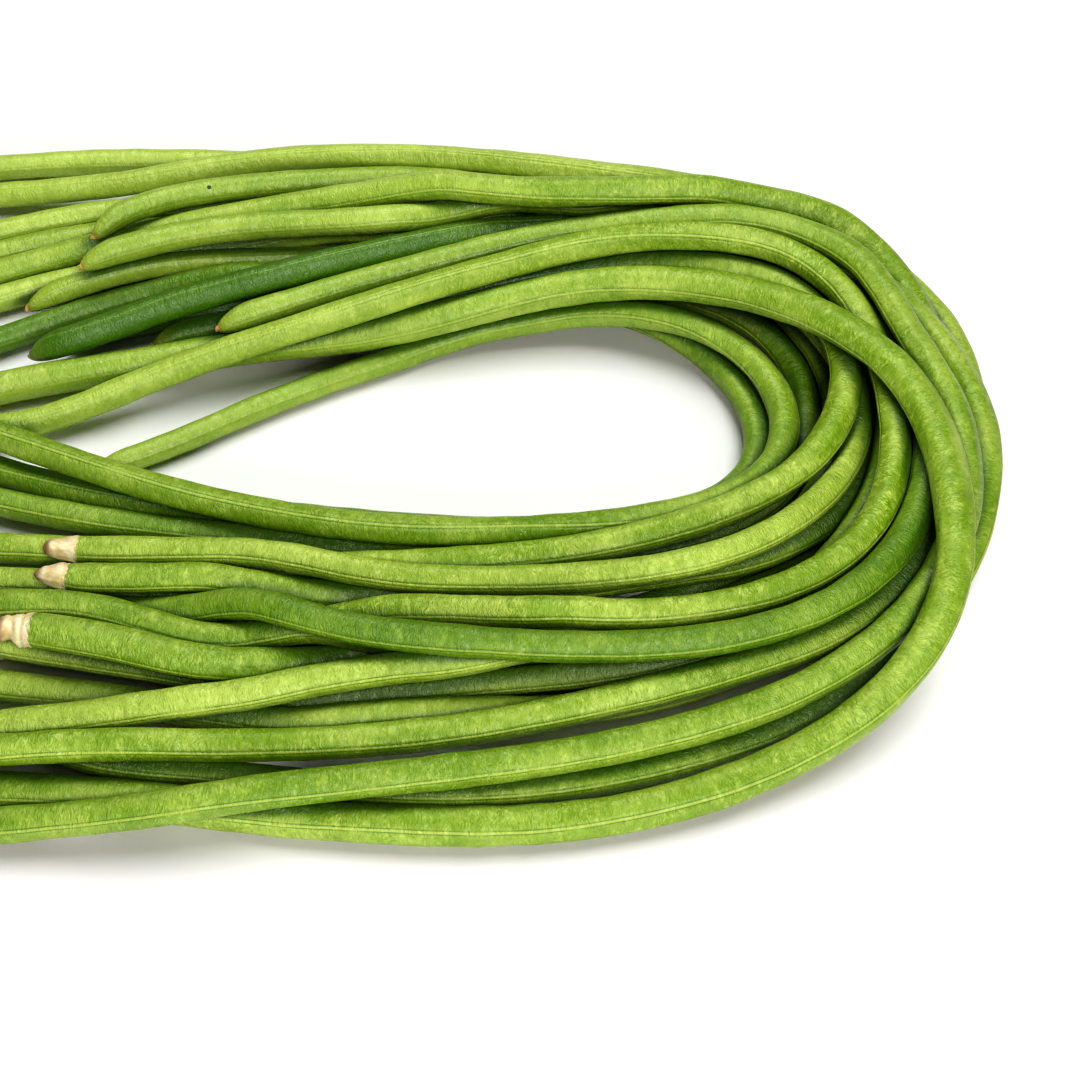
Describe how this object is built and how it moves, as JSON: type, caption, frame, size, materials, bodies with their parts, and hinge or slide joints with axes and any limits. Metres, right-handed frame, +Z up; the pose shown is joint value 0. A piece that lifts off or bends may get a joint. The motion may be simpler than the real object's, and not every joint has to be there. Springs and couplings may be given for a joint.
{
  "type": "yardlong bean bunch",
  "caption": "Bunch of long thin green bean pods doubled over into a U, pale stalk stumps and blunt nibs at the ends, lying flat on a surface",
  "frame": {"origin": "bottom centre of the bunch's box, on the surface it lies on", "axes": "+X along both arms towards the bend, +Y from the near arm to the far arm, +Z up"},
  "size_m": [0.2798, 0.214, 0.0333],
  "materials": {
    "pod_skin": "satin green plant skin, lime to deeper green from pod to pod, faint fibres along it",
    "stalk_straw": "dry pale straw-coloured stump, brown at its point"
  },
  "bodies": {
    "root": {"pod_01": "pod_skin", "pod_02": "pod_skin", "pod_03": "pod_skin", "pod_04": "pod_skin", "pod_05": "pod_skin", "pod_06": "pod_skin", "pod_07": "pod_skin", "pod_08": "pod_skin", "pod_09": "pod_skin", "pod_10": "pod_skin", "pod_11": "pod_skin", "pod_12": "pod_skin", "pod_13": "pod_skin", "pod_14": "pod_skin", "pod_15": "pod_skin", "pod_16": "pod_skin", "pod_17": "pod_skin", "stalk_01": "stalk_straw", "stalk_02": "stalk_straw", "stalk_03": "stalk_straw", "stalk_04": "stalk_straw", "stalk_05": "stalk_straw", "stalk_06": "stalk_straw", "stalk_07": "stalk_straw", "stalk_08": "stalk_straw", "stalk_09": "stalk_straw", "stalk_10": "stalk_straw", "stalk_11": "stalk_straw", "stalk_12": "stalk_straw", "stalk_13": "stalk_straw", "stalk_14": "stalk_straw", "stalk_15": "stalk_straw", "stalk_16": "stalk_straw", "stalk_17": "stalk_straw"}
  },
  "joints": []
}
